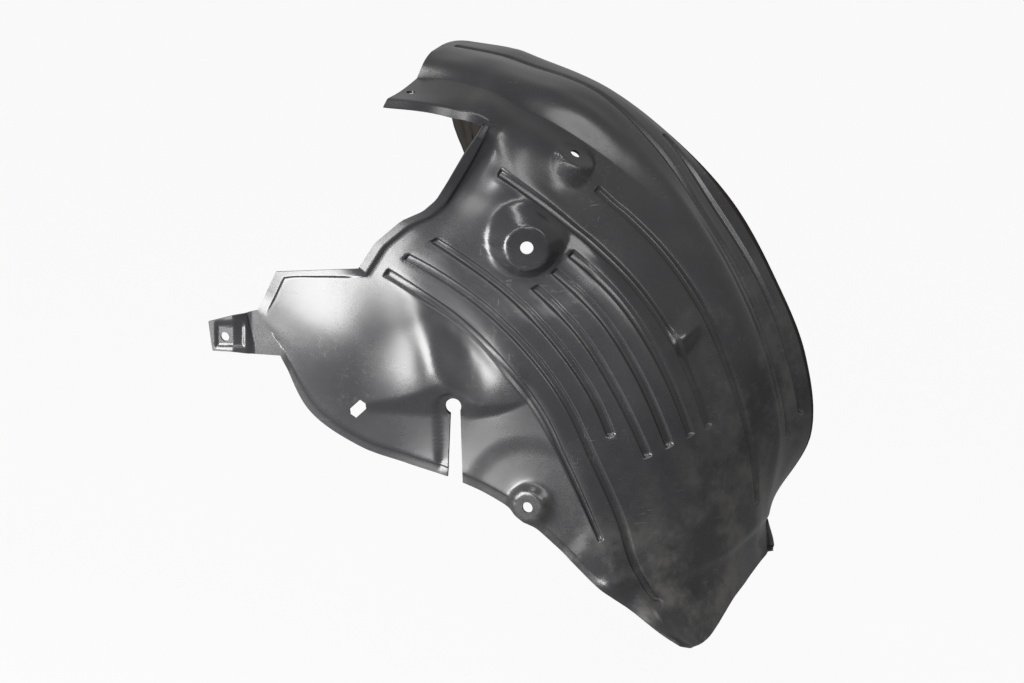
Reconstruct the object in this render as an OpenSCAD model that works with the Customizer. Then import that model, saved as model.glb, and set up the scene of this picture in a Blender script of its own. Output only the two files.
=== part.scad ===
// Wheel arch liner, rear half: one vacuum-formed sheet, trimmed and drilled after forming.
// The form is drawn as rails that run round the arch. Each rail is a row of places on a sight plane, a plane
// seen from behind the wing, with a depth for each place. A place is a share of the drawn width across and up,
// and a share of the depth of the liner. The sheet is stretched between the rails, and gets its thickness inwards.

/* [Liner] */
// width and height of the liner as drawn on the sight plane
drawn_width = 600; // [300:10:900]
// depth from the chassis side to the wing side
depth = 242; // [120:2:360]
// thickness of the formed sheet
sheet_t = 2.6; // [2:0.1:5]
// how far the sight plane is turned about the upright axis
sight_turn = 22; // [10:1:35]
// how far the sight plane looks down
sight_rise = 18; // [8:1:30]

/* [Stiffening ribs] */
// half width of a rib at its floor
rib_floor_half = 2.9; // [1.5:0.1:6]
// half width of a rib at its rim
rib_rim_half = 5.6; // [3:0.1:10]
// depth of a rib, sunk towards the wheel
rib_h = 3.6; // [1:0.1:8]
// height of the rim that is raised along the trimmed edges
lip_h = 4.5; // [0:0.5:10]
// height of the soft forms pressed into the flank
form_h = 9; // [0:0.5:16]

/* [Outer wall] */
// how far the outer wall hangs down at the top end
wall_drop = 140; // [40:2:180]

/* [Fixing holes] */
// bore of the main fixing hole in the large cup
main_bore = 13; // [6:0.5:20]
// bore of the upper fixing hole in the small cup
upper_bore = 10.5; // [5:0.5:16]
// bore of the hole in the chassis tab
tab_bore = 9.5; // [5:0.5:14]
// bore of the hole in the lower boss
lower_bore = 11; // [5:0.5:16]
// bore of the hole at the top end
top_bore = 9; // [5:0.5:14]
// radius of the flat seat of the large cup
main_seat_r = 22.5; // [14:0.5:30]
// radius of the flat seat of the small cup
upper_seat_r = 21; // [12:0.5:26]
// radius of the flat seat of the lower boss
lower_seat_r = 17; // [10:0.5:24]
// height of the large cup's cone
main_cone_h = 38; // [20:1:60]
// height of the small cup's cone
upper_cone_h = 24; // [12:1:50]
// height of the lower boss
lower_cone_h = 9; // [4:1:16]

/* [Slots] */
// width of the cable slot at its neck
slot_neck = 9.5; // [6:0.5:20]
// radius of the slot's round head
slot_head_r = 8; // [5:0.5:14]
// length of the slot from its head to the trimmed edge
slot_len = 86; // [40:1:120]

/* [Fineness] */
// rows in each main bay
bay_rows = 6; // [3:1:8]
// rows in each bay of the tab and of the top band
lead_rows = 2; // [2:1:5]

/* [Hidden] */
$fn = 48;

// Each rail has twelve places: three before the notch, eight bays round the arch, and the trimmed lower end.
cut_edge_shares = [[0.007, 0.486, -0.02], [0.04, 0.484, -0.02], [0.076, 0.48, 0.016], [0.12, 0.478, 0.012],
    [0.165, 0.386, 0.008], [0.245, 0.328, 0.016], [0.328, 0.298, 0.024], [0.418, 0.267, 0.016],
    [0.504, 0.219, 0.016], [0.575, 0.158, 0.024], [0.647, 0.092, 0.041], [0.779, 0.005, 0.102]];
lip_bend_shares = [[0.005, 0.496, -0.02], [0.04, 0.494, -0.02], [0.076, 0.491, 0.016], [0.124, 0.488, 0.012],
    [0.176, 0.394, 0.008], [0.252, 0.339, 0.016], [0.333, 0.311, 0.024], [0.422, 0.28, 0.016],
    [0.511, 0.231, 0.016], [0.582, 0.168, 0.024], [0.654, 0.102, 0.045], [0.786, 0.003, 0.127]];
rib_1_shares = [[0.26, 0.634, 0.02], [0.343, 0.583, 0.016], [0.418, 0.527, 0.02], [0.491, 0.456, 0.033],
    [0.55, 0.376, 0.041], [0.591, 0.288, 0.041], [0.633, 0.196, 0.045], [0.675, 0.115, 0.061], [0.796, 0, 0.171]];
rib_2_shares = [[0.278, 0.662, 0.033], [0.371, 0.614, 0.033], [0.453, 0.557, 0.049], [0.529, 0.483, 0.065],
    [0.588, 0.402, 0.073], [0.634, 0.306, 0.082], [0.677, 0.211, 0.098], [0.713, 0.112, 0.122], [0.809, 0.002, 0.224]];
rib_3_shares = [[0.32, 0.697, 0.057], [0.41, 0.641, 0.065], [0.498, 0.575, 0.09], [0.572, 0.498, 0.106],
    [0.633, 0.41, 0.122], [0.674, 0.316, 0.135], [0.717, 0.216, 0.155], [0.761, 0.115, 0.204], [0.824, 0.012, 0.286]];
rib_4_shares = [[0.356, 0.713, 0.082], [0.45, 0.661, 0.102], [0.534, 0.591, 0.131], [0.61, 0.514, 0.147],
    [0.667, 0.425, 0.163], [0.715, 0.328, 0.184], [0.755, 0.226, 0.22], [0.784, 0.12, 0.253], [0.839, 0.03, 0.359]];
rib_5_shares = [[0.377, 0.731, 0.102], [0.478, 0.684, 0.135], [0.567, 0.616, 0.171], [0.646, 0.54, 0.196],
    [0.705, 0.448, 0.22], [0.751, 0.346, 0.245], [0.787, 0.241, 0.278], [0.809, 0.129, 0.318], [0.855, 0.053, 0.441]];
rib_6_shares = [[0.395, 0.759, 0.127], [0.499, 0.71, 0.171], [0.595, 0.644, 0.22], [0.677, 0.567, 0.253],
    [0.74, 0.471, 0.278], [0.786, 0.366, 0.306], [0.817, 0.259, 0.343], [0.832, 0.14, 0.388], [0.871, 0.076, 0.531]];
rib_7_shares = [[0.423, 0.806, 0.159], [0.526, 0.746, 0.22], [0.616, 0.674, 0.286], [0.702, 0.59, 0.335],
    [0.768, 0.494, 0.367], [0.814, 0.386, 0.392], [0.843, 0.272, 0.416], [0.855, 0.153, 0.457], [0.888, 0.096, 0.62]];
arch_edge_shares = [[0.292, 0.892, 0.033], [0.344, 0.886, 0.082], [0.399, 0.873, 0.155], [0.456, 0.853, 0.204],
    [0.549, 0.778, 0.294], [0.641, 0.702, 0.367], [0.727, 0.618, 0.416], [0.792, 0.519, 0.449],
    [0.84, 0.407, 0.473], [0.87, 0.297, 0.498], [0.883, 0.175, 0.563], [0.901, 0.112, 0.702]];
rib_8_shares = [[0.318, 0.909, 0.204], [0.366, 0.903, 0.224], [0.418, 0.893, 0.253], [0.473, 0.876, 0.278],
    [0.573, 0.809, 0.376], [0.664, 0.73, 0.449], [0.75, 0.644, 0.494], [0.817, 0.545, 0.522],
    [0.865, 0.43, 0.547], [0.895, 0.321, 0.58], [0.909, 0.196, 0.673], [0.913, 0.127, 0.751]];
foot_shares = [[0.344, 0.932, 0.38], [0.39, 0.929, 0.384], [0.438, 0.918, 0.392], [0.486, 0.901, 0.4],
    [0.596, 0.843, 0.522], [0.699, 0.768, 0.596], [0.789, 0.679, 0.62], [0.86, 0.573, 0.637],
    [0.903, 0.458, 0.653], [0.924, 0.336, 0.686], [0.919, 0.208, 0.755], [0.921, 0.137, 0.788]];
shoulder_shares = [[0.356, 0.961, 0.457], [0.404, 0.954, 0.461], [0.451, 0.942, 0.473], [0.499, 0.928, 0.49],
    [0.619, 0.883, 0.596], [0.72, 0.799, 0.678], [0.804, 0.699, 0.694], [0.871, 0.588, 0.702],
    [0.918, 0.47, 0.714], [0.942, 0.343, 0.743], [0.924, 0.213, 0.8], [0.926, 0.143, 0.808]];
crown_shares = [[0.367, 0.977, 0.535], [0.415, 0.97, 0.559], [0.463, 0.962, 0.584], [0.509, 0.947, 0.612],
    [0.629, 0.9, 0.686], [0.728, 0.812, 0.735], [0.809, 0.707, 0.751], [0.875, 0.593, 0.759],
    [0.923, 0.474, 0.767], [0.949, 0.344, 0.788], [0.926, 0.216, 0.82], [0.929, 0.147, 0.82]];
rib_9_shares = [[0.389, 0.992, 0.673], [0.432, 0.984, 0.702], [0.476, 0.975, 0.731], [0.517, 0.962, 0.755],
    [0.641, 0.913, 0.784], [0.738, 0.822, 0.796], [0.814, 0.713, 0.8], [0.88, 0.6, 0.804],
    [0.929, 0.479, 0.812], [0.956, 0.348, 0.824], [0.928, 0.217, 0.849], [0.931, 0.15, 0.833]];
rib_10_shares = [[0.42, 1, 0.882], [0.461, 0.994, 0.89], [0.499, 0.987, 0.898], [0.535, 0.975, 0.906],
    [0.659, 0.919, 0.906], [0.759, 0.834, 0.906], [0.834, 0.725, 0.906], [0.906, 0.608, 0.906],
    [0.957, 0.483, 0.906], [0.979, 0.348, 0.906], [0.931, 0.222, 0.922], [0.934, 0.153, 0.841]];
outer_edge_shares = [[0.438, 0.998, 1], [0.473, 0.99, 1], [0.507, 0.981, 1], [0.542, 0.968, 1],
    [0.667, 0.913, 1], [0.776, 0.83, 1], [0.868, 0.728, 1], [0.936, 0.606, 1],
    [0.987, 0.478, 1], [0.997, 0.344, 0.992], [0.931, 0.227, 0.98], [0.936, 0.155, 0.853]];
// how far down the outer wall hangs at each place, as a share of its drop at the top end
wall_drop_shares = [1, 0.95, 0.85, 0.72, 0.5, 0.38, 0.28, 0.22, 0.18, 0.15, 0.1, 0.08];
// how far the wall's free edge reaches past the sheet at the top end, as a share of the drop
wall_lean_shares = [0.22, 0.1, 0.03, 0, 0, 0, 0, 0, 0, 0, 0, 0];

// where each rib starts and ends, in bays along its own rail
rib_1_run = [3.4, 9.3];
rib_2_run = [3.5, 10.36];
rib_3_run = [3.56, 7.7];
rib_4_run = [5.02, 8.18];
rib_5_run = [5.0, 8.18];
rib_6_run = [5.0, 8.2];
rib_7_run = [3.52, 8.24];
rib_8_run = [4.72, 9.68];
rib_9_run = [0.4, 9.05];
rib_10_run = [4.9, 8.76];

// the flank's fill rails leave the chassis-side trim at these places
fill_start_shares = [[0.105, 0.516, 0.014], [0.089, 0.54, 0.014], [0.081, 0.552, 0.014], [0.097, 0.585, 0.012],
    [0.111, 0.614, 0.012], [0.181, 0.617, 0.014], [0.25, 0.619, 0.016]];
fill_count = len(fill_start_shares);
// the tab's fill places, from its free end inwards, as shares between its two trimmed edges
tab_top_shares = [[0, 0.534, -0.02], [0.041, 0.544, -0.02], [0.063, 0.548, 0.016]];
tab_fills = 3;

BAY_FIRST = 3;
BAY_LAST = 11;

function keep(value, low, high) = max(low, min(high, value));
function smooth(value) = let(t = keep(value, 0, 1)) t * t * (3 - 2 * t);
function bend(a, b, c, d, t) = 0.5 * ((2 * b) + (c - a) * t + (2 * a - 5 * b + 4 * c - d) * t * t
    + (3 * b - a - 3 * c + d) * t * t * t);
// a place along a rail: smooth between the drawn places, straight on past its two ends
function along(rail, x) = let(last = len(rail) - 1, i = keep(floor(x), 0, last - 1), t = x - i)
    bend(i > 0 ? rail[i - 1] : 2 * rail[0] - rail[1], rail[i], rail[i + 1],
        i + 2 <= last ? rail[i + 2] : 2 * rail[last] - rail[last - 1], t);

// From a place on the sight plane to a point of the liner, measured from the wheel axis. The finished sheet is
// moved so that the seat of its main fixing hole is the origin.
axis_across_share = 0.152;
axis_up_share = 0.165;
sight_right = [cos(sight_turn), sin(sight_turn), 0];
sight_up = [-sin(sight_turn) * sin(sight_rise), cos(sight_turn) * sin(sight_rise), cos(sight_rise)];
sight_back = [sin(sight_turn) * cos(sight_rise), -cos(sight_turn) * cos(sight_rise), sin(sight_rise)];
function place(s) = let(across = (s[0] - axis_across_share) * drawn_width, up = (s[1] - axis_up_share) * drawn_width,
        y = s[2] * depth, x = (across - y * sight_right[1]) / sight_right[0])
    [x, y, (up - x * sight_up[0] - y * sight_up[1]) / sight_up[2]];

// The rails from the trimmed inner edge to the wing side. A rail is [places, first bay, rib run].
function tab_fill(f) = let(share = (f + 1) / tab_fills)
    [for (b = [0 : 2]) lip_bend_shares[b] + (tab_top_shares[b] - lip_bend_shares[b]) * share];
function fill(f) = concat(f < tab_fills ? tab_fill(f) : [], [fill_start_shares[f]],
    [for (b = [4 : 11]) lip_bend_shares[b] + (rib_1_shares[b - 3] - lip_bend_shares[b]) * (f + 1) / (fill_count + 1)]);
RAILS = concat(
    [[cut_edge_shares, 0, []], [lip_bend_shares, 0, []]],
    [for (f = [0 : fill_count - 1]) [fill(f), f < tab_fills ? 0 : 3, []]],
    [[rib_1_shares, 3, rib_1_run], [rib_2_shares, 3, rib_2_run], [rib_3_shares, 3, rib_3_run],
     [rib_4_shares, 3, rib_4_run], [rib_5_shares, 3, rib_5_run], [rib_6_shares, 3, rib_6_run],
     [rib_7_shares, 3, rib_7_run], [arch_edge_shares, 0, []], [rib_8_shares, 0, rib_8_run], [foot_shares, 0, []],
     [shoulder_shares, 0, []], [crown_shares, 0, []], [rib_9_shares, 0, rib_9_run], [rib_10_shares, 0, rib_10_run],
     [outer_edge_shares, 0, []]]);
rail_count = len(RAILS);
tab_rail_last = 1 + tab_fills;
arch_rail = 2 + fill_count + 7;

function on_rail(r, x) = place(along(RAILS[r][0], x - RAILS[r][1]));

// The columns of the sheet: a plain rail gives one, a rib gives four, the outer wall adds its own.
// A column is [rail, distance from the rail, sunk share].
function rib_columns(r) = [[r, -rib_rim_half, 0], [r, -rib_floor_half, 1], [r, rib_floor_half, 1], [r, rib_rim_half, 0]];
wall_steps = [0.1, 0.6, 1];
COLUMNS = concat(
    [for (r = [0 : rail_count - 1]) each (len(RAILS[r][2]) == 0 ? [[r, 0, 0]] : rib_columns(r))],
    [for (w = wall_steps) [rail_count, w, 0]]);
column_count = len(COLUMNS);

// rows: the bays before the notch, then the bays round the arch
lip_row_shares = [0.13, 0.24];
ROWS = concat([for (b = [0 : lead_rows * BAY_FIRST - 1]) b / lead_rows], [BAY_FIRST],
    [for (s = lip_row_shares) BAY_FIRST + s],
    [for (b = [0 : bay_rows * (BAY_LAST - BAY_FIRST) - 1]) if ((b + 1) / bay_rows > lip_row_shares[1] + 0.1)
        BAY_FIRST + (b + 1) / bay_rows]);
row_count = len(ROWS);
first_main_row = lead_rows * BAY_FIRST;

function radial(p) = let(r = norm([p[0], p[2]])) [p[0] / r, 0, p[2] / r];
function wall_point(w, x) = let(p = on_rail(rail_count - 1, x), drop = wall_drop * along(wall_drop_shares, x),
        lean = wall_drop * along(wall_lean_shares, x), turn = sheet_t * smooth(w / wall_steps[0]))
    p - radial(p) * drop * w + [-lean * sin(153 * w), turn, 0];
function neighbour(r) = r < rail_count - 1 ? r + 1 : r - 1;
function sheet_point(c, x) = let(col = COLUMNS[c], r = col[0])
    r == rail_count ? wall_point(col[1], x)
    : let(p = on_rail(r, x)) col[1] == 0 ? p
    : let(side = col[1] > 0 ? 1 : -1, q = on_rail(r + side, x), gap = norm(q - p))
        p + (q - p) * min(abs(col[1]) / gap, 0.34 * abs(col[1]) / rib_rim_half);

// how deep a column is sunk at a row, and how far a trimmed lip stands up
rib_end_share = 0.09;
function sunk(c, x) = let(run = len(RAILS[min(COLUMNS[c][0], rail_count - 1)][2]) == 0 ? [0, 0]
        : RAILS[min(COLUMNS[c][0], rail_count - 1)][2])
    COLUMNS[c][2] == 0 ? 0 : rib_h * smooth((x - run[0]) / rib_end_share) * smooth((run[1] - x) / rib_end_share);
function lip(c, row, x) = let(r = COLUMNS[c][0], main = row >= first_main_row)
    r < 2 ? lip_h * smooth((BAY_LAST - 1 - x) / 0.5) * smooth((x - 2.4) / 0.6)
    : r > tab_rail_last && r < arch_rail && main ? (row < first_main_row + 2 ? lip_h : 0)
    : r == arch_rail && x <= BAY_FIRST ? -lip_h : 0;
// Soft forms of the flank: [across, up, half width, half height, lean in degrees], and its height as a share.
mound_shares = [[0.235, 0.515, 0.085, 0.085, 0, 0.9], [0.352, 0.475, 0.024, 0.1, 8, -0.8],
    [0.4, 0.47, 0.022, 0.09, 14, 0.7], [0.5, 0.44, 0.04, 0.09, 40, -0.35], [0.466, 0.82, 0.035, 0.09, -35, -0.8],
    [0.784, 0.513, 0.014, 0.028, -35, 0.85], [0.665, 0.1, 0.02, 0.014, 0, 0.5]];
// the step that runs across the flank over the slot: [across, up, height share] from left to right
step_shares = [[0.23, 0.385, 0], [0.3, 0.4, 0.35], [0.37, 0.425, 0.9], [0.4, 0.432, 1], [0.44, 0.405, 1],
    [0.475, 0.393, 0.7], [0.53, 0.402, 0]];
step_rise_share = 0.008;
step_fade_share = 0.1;
function mound(m, a, u) = let(da = a - m[0], du = u - m[1], w = (da * cos(m[4]) + du * sin(m[4])) / m[2],
        h = (du * cos(m[4]) - da * sin(m[4])) / m[3]) form_h * m[5] * exp(-(w * w + h * h));
function step_at(a, u) = let(n = len(step_shares) - 1,
        i = max([0, for (k = [0 : n - 1]) if (a >= step_shares[k][0]) k]), lo = step_shares[i], hi = step_shares[i + 1],
        t = keep((a - lo[0]) / (hi[0] - lo[0]), 0, 1), line = lo + (hi - lo) * smooth(t), over = u - line[1])
    form_h * 0.8 * line[2] * smooth(over / step_rise_share) * smooth(1 - over / step_fade_share);
function vec_add(list) = [for (v = list) 1] * list;
function relief(p) = let(a = p * sight_right / drawn_width + axis_across_share, u = p * sight_up / drawn_width + axis_up_share)
    vec_add([for (m = mound_shares) mound(m, a, u)]) + step_at(a, u);
function present(row, c) = row >= 0 && row < row_count - 1 && c >= 0 && c < column_count - 1
    && (row >= first_main_row || COLUMNS[c + 1][0] <= tab_rail_last || COLUMNS[c][0] >= arch_rail);

// the smooth sheet, its outward direction, and the two skins
SMOOTH = [for (x = ROWS) [for (c = [0 : column_count - 1]) sheet_point(c, x)]];
function out_dir(i, c) = let(u = SMOOTH[min(i + 1, row_count - 1)][c] - SMOOTH[max(i - 1, 0)][c],
        v = SMOOTH[i][min(c + 1, column_count - 1)] - SMOOTH[i][max(c - 1, 0)], n = cross(u, v), l = norm(n))
    l > 0 ? n / l : [0, -1, 0];
OUTER = [for (i = [0 : row_count - 1]) for (c = [0 : column_count - 1])
    SMOOTH[i][c] + out_dir(i, c) * (lip(c, i, ROWS[i]) - sunk(c, ROWS[i]) + relief(SMOOTH[i][c]))];
INNER = [for (i = [0 : row_count - 1]) for (c = [0 : column_count - 1])
    OUTER[i * column_count + c] - out_dir(i, c) * sheet_t];
point_count = row_count * column_count;
function at(i, c) = i * column_count + c;
function skin(a, b, c, d) = [[a, b, c], [a, c, d]];
function edge_wall(a, b) = [[a, b, b + point_count], [a, b + point_count, a + point_count]];
FACES = [for (i = [0 : row_count - 2]) for (c = [0 : column_count - 2]) if (present(i, c)) each concat(
    skin(at(i, c), at(i, c + 1), at(i + 1, c + 1), at(i + 1, c)),
    skin(at(i + 1, c) + point_count, at(i + 1, c + 1) + point_count, at(i, c + 1) + point_count,
        at(i, c) + point_count),
    present(i - 1, c) ? [] : edge_wall(at(i, c + 1), at(i, c)),
    present(i, c + 1) ? [] : edge_wall(at(i + 1, c + 1), at(i, c + 1)),
    present(i + 1, c) ? [] : edge_wall(at(i + 1, c), at(i + 1, c + 1)),
    present(i, c - 1) ? [] : edge_wall(at(i, c), at(i + 1, c)))];

// fixing places: [place, axis]
main_seat = [0.524, 0.652, 0.093];
upper_seat = [0.604, 0.8076, 0.44];
tab_seat = [0.026, 0.508, -0.02];
lower_seat = [0.525, 0.228, -0.005];
top_seat_bay = 0.354;
top_seat = along(rib_8_shares, top_seat_bay);
// the direction a seat faces: turned from the chassis side towards the rear, then raised
function facing(turn, rise) = [sin(turn) * cos(rise), -cos(turn) * cos(rise), sin(rise)];
main_axis = facing(22, 6);
upper_axis = facing(80, 58);
tab_axis = [0, -1, 0];
lower_axis = [0, -1, 0];
top_axis = let(u = on_rail(arch_rail + 1, top_seat_bay * 2) - on_rail(arch_rail + 1, 0),
        v = on_rail(arch_rail + 2, top_seat_bay) - on_rail(arch_rail, top_seat_bay), n = cross(u, v)) n / norm(n);
cone_spread = 0.8;
pad_rim = 3.2 / 9.5;
spot_face_share = 0.72;

// stands an object drawn on +Z at a seat, looking along its axis
module on_seat(seat, axis) {
    tilt = acos(axis[2] / norm(axis));
    heading = atan2(axis[1], axis[0]);
    translate(place(seat)) rotate([0, tilt, heading]) children();
}
module cup_outside(r, h) {
    translate([0, 0, -h]) cylinder(r1 = r + h * cone_spread, r2 = r, h = h);
}
module cup_inside(r, h) {
    translate([0, 0, -h - sheet_t]) cylinder(r1 = r + h * cone_spread - sheet_t * 0.2, r2 = r - sheet_t * 0.45, h = h);
}
// a flat seat round a hole in the plain sheet
module seat_pad(d) {
    translate([0, 0, -sheet_t]) cylinder(r = d / 2 + d * pad_rim, h = sheet_t);
}
// clears the sheet above and below such a seat, so that its hole has one plain wall
module spot_face(d) {
    for (z = [0, -sheet_t * 3]) translate([0, 0, z]) cylinder(r = d * spot_face_share, h = sheet_t * 2);
}
module bore(d) {
    translate([0, 0, -sheet_t * 6]) cylinder(r = d / 2, h = sheet_t * 12);
}
// a trim drawn on the sight plane and cut along the line of sight
module sight_cut(near, far) {
    multmatrix([[sight_right[0], sight_up[0], sight_back[0], 0], [sight_right[1], sight_up[1], sight_back[1], 0],
        [sight_right[2], sight_up[2], sight_back[2], 0]])
        translate([-axis_across_share * drawn_width, -axis_up_share * drawn_width, -far]) linear_extrude(far + near) children();
}
slot_head = [0.4036, 0.3935];
module slot_outline() {
    translate(slot_head * drawn_width) circle(slot_head_r);
    translate([slot_head[0] * drawn_width - slot_neck * 0.28, slot_head[1] * drawn_width - slot_len])
        square([slot_neck, slot_len]);
    polygon([for (s = [[-0.29, 0], [0.75, 0], [1, -1], [-0.72, -1]])
        slot_head * drawn_width + [s[0] * slot_neck, s[1] * slot_len]]);
}
vent_shares = [[0.232, 0.388], [0.25, 0.404], [0.259, 0.398], [0.26, 0.389], [0.242, 0.373], [0.233, 0.379]];

module liner_shell() {
    color([0.09, 0.09, 0.095]) translate(-place(main_seat)) difference() {
        union() {
            polyhedron(concat(OUTER, INNER), FACES, convexity = 12);
            on_seat(main_seat, main_axis) cup_outside(main_seat_r, main_cone_h);
            on_seat(upper_seat, upper_axis) cup_outside(upper_seat_r, upper_cone_h);
            on_seat(lower_seat, lower_axis) cup_outside(lower_seat_r, lower_cone_h);
            on_seat(tab_seat, tab_axis) seat_pad(tab_bore);
            on_seat(top_seat, top_axis) seat_pad(top_bore);
        }
        on_seat(main_seat, main_axis) cup_inside(main_seat_r, main_cone_h);
        on_seat(upper_seat, upper_axis) cup_inside(upper_seat_r, upper_cone_h);
        on_seat(lower_seat, lower_axis) cup_inside(lower_seat_r, lower_cone_h);
        on_seat(tab_seat, tab_axis) spot_face(tab_bore);
        on_seat(top_seat, top_axis) spot_face(top_bore);
        on_seat(main_seat, main_axis) bore(main_bore);
        on_seat(upper_seat, upper_axis) bore(upper_bore);
        on_seat(tab_seat, tab_axis) bore(tab_bore);
        on_seat(lower_seat, lower_axis) bore(lower_bore);
        on_seat(top_seat, top_axis) bore(top_bore);
        sight_cut(drawn_width * 0.35, depth * 0.1) slot_outline();
        sight_cut(drawn_width * 0.35, depth * 0.1) polygon(vent_shares * drawn_width);
    }
}

liner_shell();
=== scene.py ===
# %% [markdown]
# # A vacuum-formed wheel arch liner
# The real part starts as one flat black plastic sheet. It is heated, sucked over a mould, then trimmed
# and drilled. So there is one piece here, and its beauty is in how one skin turns from a flat flank
# into a dome and a rolled bulge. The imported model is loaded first: it fixes the size and the place.

# %% Load the frame and keep its box
import math

import bmesh
import bpy
import numpy as np
from mathutils import Matrix, Vector


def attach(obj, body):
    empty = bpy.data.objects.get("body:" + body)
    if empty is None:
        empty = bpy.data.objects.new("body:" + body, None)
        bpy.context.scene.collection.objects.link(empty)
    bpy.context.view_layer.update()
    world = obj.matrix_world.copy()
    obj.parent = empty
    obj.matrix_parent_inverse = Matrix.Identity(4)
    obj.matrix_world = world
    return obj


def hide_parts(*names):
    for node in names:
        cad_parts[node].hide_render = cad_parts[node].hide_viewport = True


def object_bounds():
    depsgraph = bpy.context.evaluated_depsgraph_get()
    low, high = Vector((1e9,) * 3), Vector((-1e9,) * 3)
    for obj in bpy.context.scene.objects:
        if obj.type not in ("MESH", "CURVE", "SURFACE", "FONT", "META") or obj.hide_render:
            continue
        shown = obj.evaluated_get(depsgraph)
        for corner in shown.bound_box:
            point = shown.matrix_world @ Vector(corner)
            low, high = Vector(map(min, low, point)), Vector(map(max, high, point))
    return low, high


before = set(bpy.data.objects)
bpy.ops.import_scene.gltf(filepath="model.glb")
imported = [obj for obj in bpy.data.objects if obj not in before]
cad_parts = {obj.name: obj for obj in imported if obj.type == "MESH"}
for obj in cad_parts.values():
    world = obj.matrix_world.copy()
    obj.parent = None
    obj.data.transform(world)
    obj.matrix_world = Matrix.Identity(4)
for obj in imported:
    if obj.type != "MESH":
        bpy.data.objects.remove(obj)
cad_low, cad_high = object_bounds()
print("frame box", [round(v, 4) for v in cad_low], [round(v, 4) for v in cad_high])

# %% [markdown]
# ## The drawing
# A designer lofts such a part from rails: curves that run round the arch along its ribs and edges. Each
# rail is drawn on a sight plane, seen from behind the wing, as shares of the span across and up, with a
# share of the depth. The construction model is lofted from the same rails. A share keeps its meaning
# when the part is resized.

# %% Sizes and the sight plane
SPAN = 0.600
DEPTH = 0.242
SHEET = 0.0026
SIGHT_TURN = math.radians(22)
SIGHT_RISE = math.radians(18)
RIB_DEEP = 0.0036
LIP_HIGH, FORM_HIGH, WALL_DROP = 0.0045, 0.009, 0.140
AXIS_ACROSS, AXIS_UP = 0.152, 0.165
sight_right = np.array([math.cos(SIGHT_TURN), math.sin(SIGHT_TURN), 0])
sight_back = np.array([math.sin(SIGHT_TURN) * math.cos(SIGHT_RISE),
                       -math.cos(SIGHT_TURN) * math.cos(SIGHT_RISE), math.sin(SIGHT_RISE)])
sight_up = np.cross(sight_back, sight_right)


def place(shares):
    """From places on the sight plane to points measured from the wheel axis, in metres."""
    s = np.asarray(shares, float)
    y = s[..., 2] * DEPTH
    x = ((s[..., 0] - AXIS_ACROSS) * SPAN - y * sight_right[1]) / sight_right[0]
    z = ((s[..., 1] - AXIS_UP) * SPAN - x * sight_up[0] - y * sight_up[1]) / sight_up[2]
    return np.stack([x, y, z], -1)


MAIN_SEAT = (0.524, 0.652, 0.093)
origin = place(MAIN_SEAT)
print("the main screw seat is the origin; the wheel axis lies at", (-origin).round(3))

# %% The rails, from the trimmed inner edge to the wing side
CUT_EDGE = [
    (0.007, 0.486, -0.02), (0.04, 0.484, -0.02), (0.076, 0.48, 0.016), (0.12, 0.478, 0.012),
    (0.165, 0.386, 0.008), (0.245, 0.328, 0.016), (0.328, 0.298, 0.024), (0.418, 0.267, 0.016),
    (0.504, 0.219, 0.016), (0.575, 0.158, 0.024), (0.647, 0.092, 0.041), (0.779, 0.005, 0.102),
]
LIP_BEND = [
    (0.005, 0.496, -0.02), (0.04, 0.494, -0.02), (0.076, 0.491, 0.016), (0.124, 0.488, 0.012),
    (0.176, 0.394, 0.008), (0.252, 0.339, 0.016), (0.333, 0.311, 0.024), (0.422, 0.28, 0.016),
    (0.511, 0.231, 0.016), (0.582, 0.168, 0.024), (0.654, 0.102, 0.045), (0.786, 0.003, 0.127),
]
RIB_1 = [
    (0.26, 0.634, 0.02), (0.343, 0.583, 0.016), (0.418, 0.527, 0.02), (0.491, 0.456, 0.033),
    (0.55, 0.376, 0.041), (0.591, 0.288, 0.041), (0.633, 0.196, 0.045), (0.675, 0.115, 0.061),
    (0.796, 0, 0.171),
]
RIB_2 = [
    (0.278, 0.662, 0.033), (0.371, 0.614, 0.033), (0.453, 0.557, 0.049), (0.529, 0.483, 0.065),
    (0.588, 0.402, 0.073), (0.634, 0.306, 0.082), (0.677, 0.211, 0.098), (0.713, 0.112, 0.122),
    (0.809, 0.002, 0.224),
]
RIB_3 = [
    (0.32, 0.697, 0.057), (0.41, 0.641, 0.065), (0.498, 0.575, 0.09), (0.572, 0.498, 0.106),
    (0.633, 0.41, 0.122), (0.674, 0.316, 0.135), (0.717, 0.216, 0.155), (0.761, 0.115, 0.204),
    (0.824, 0.012, 0.286),
]
RIB_4 = [
    (0.356, 0.713, 0.082), (0.45, 0.661, 0.102), (0.534, 0.591, 0.131), (0.61, 0.514, 0.147),
    (0.667, 0.425, 0.163), (0.715, 0.328, 0.184), (0.755, 0.226, 0.22), (0.784, 0.12, 0.253),
    (0.839, 0.03, 0.359),
]
RIB_5 = [
    (0.377, 0.731, 0.102), (0.478, 0.684, 0.135), (0.567, 0.616, 0.171), (0.646, 0.54, 0.196),
    (0.705, 0.448, 0.22), (0.751, 0.346, 0.245), (0.787, 0.241, 0.278), (0.809, 0.129, 0.318),
    (0.855, 0.053, 0.441),
]
RIB_6 = [
    (0.395, 0.759, 0.127), (0.499, 0.71, 0.171), (0.595, 0.644, 0.22), (0.677, 0.567, 0.253),
    (0.74, 0.471, 0.278), (0.786, 0.366, 0.306), (0.817, 0.259, 0.343), (0.832, 0.14, 0.388),
    (0.871, 0.076, 0.531),
]
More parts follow.
